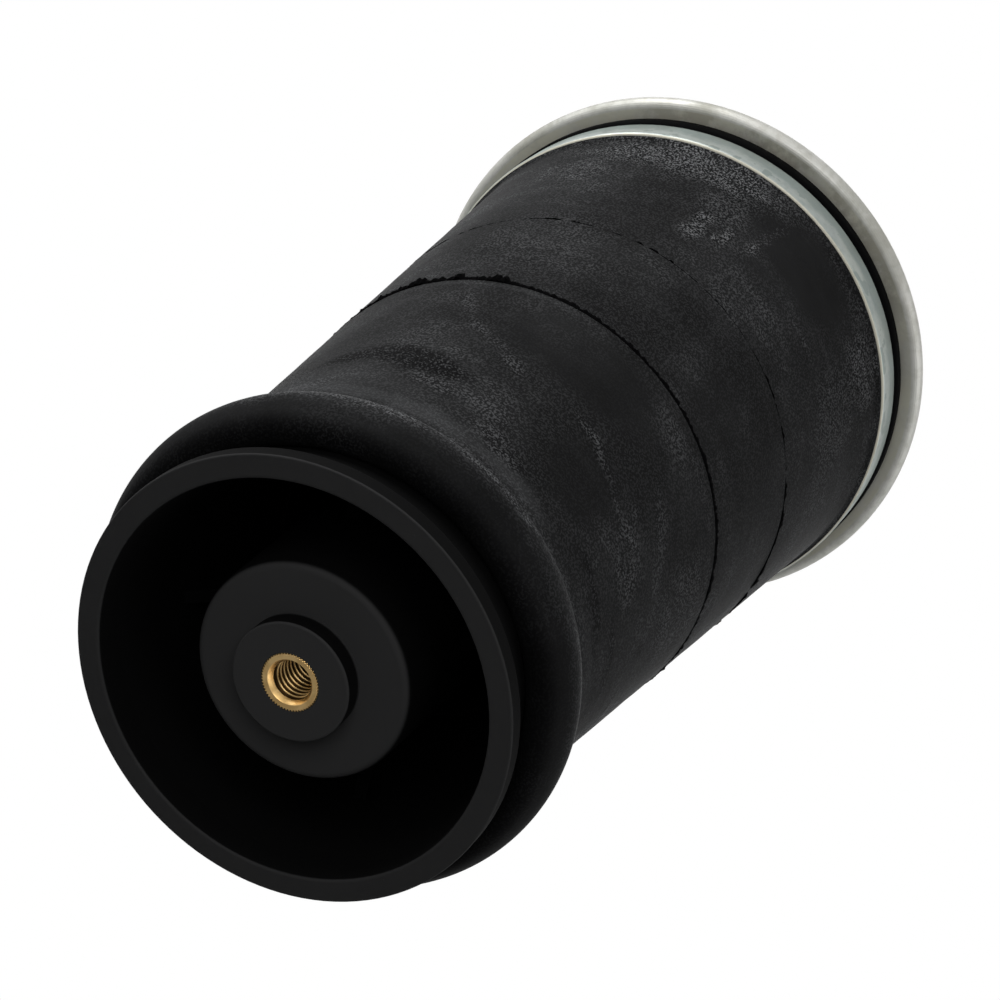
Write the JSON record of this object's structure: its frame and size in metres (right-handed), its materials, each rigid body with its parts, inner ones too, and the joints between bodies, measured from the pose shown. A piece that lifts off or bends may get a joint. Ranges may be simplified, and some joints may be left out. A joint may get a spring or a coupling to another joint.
{
  "type": "air suspension spring",
  "caption": "Rolling-lobe air suspension spring: rubber sleeve crimped to a steel top plate and rolled down over a hollow moulded piston, with mounting studs, air fitting and bump stop.",
  "frame": {"origin": "centre of the piston's rim, on the plane that the rim stands on", "axes": "+Z along the spring's axis from the piston to the top plate; +X through the two mounting studs; +Y towards the air fitting"},
  "size_m": [0.1404, 0.1404, 0.2481],
  "materials": {
    "sleeve_rubber": "matte, dusty, fine speckle",
    "piston_plastic": "moulded glass-filled plastic, matte",
    "plate_steel": "warm grey pressed steel, satin, with fine marks",
    "zinc": "zinc plated, satin with stains",
    "inner_steel": "plain pressed steel",
    "brass": "machined brass, satin",
    "seal_rubber": "smooth black rubber",
    "foam": "microcellular foam with a skin",
    "collet_plastic": "smooth black plastic"
  },
  "bodies": {
    "piston": {"piston": "piston_plastic", "thread_insert": "brass", "piston_head": "piston_plastic", "head_seal": "seal_rubber", "head_screws": "zinc", "lower_crimp_ring": "zinc", "bump_stop_cup": "inner_steel", "bump_stop_screw": "zinc", "bump_stop": "foam"},
    "lobe": {"bellows": "sleeve_rubber"},
    "top": {"top_plate": "plate_steel", "clamp_collar": "inner_steel", "crimp_ring": "zinc", "mounting_studs": "zinc", "port_bush": "zinc", "fitting_washer": "seal_rubber", "fitting_body": "brass", "fitting_seal": "seal_rubber", "fitting_grab_ring": "inner_steel", "fitting_sleeve": "brass"},
    "collet": {"fitting_collet": "collet_plastic"}
  },
  "joints": [
    {"name": "lobe_roll", "type": "slide", "parent": "piston", "child": "lobe", "axis": [0, 0, 1], "range_m": [-0.0043, 0.045], "stiffness_N_per_m": 400, "springref_m": 0.02, "deforming": ["bellows"]},
    {"name": "top_travel", "type": "slide", "parent": "lobe", "child": "top", "axis": [0, 0, 1], "range_m": [-0.0043, 0.045], "stiffness_N_per_m": 400, "springref_m": 0.02, "deforming": ["bellows"]},
    {"name": "collet_push", "type": "slide", "parent": "top", "child": "collet", "axis": [0, 0, -1], "range_m": [0, 0.0018], "stiffness_N_per_m": 200, "springref_m": -0.002}
  ],
  "couplings": [
    {"joint": "top_travel", "follows": "lobe_roll", "ratio": 1}
  ]
}
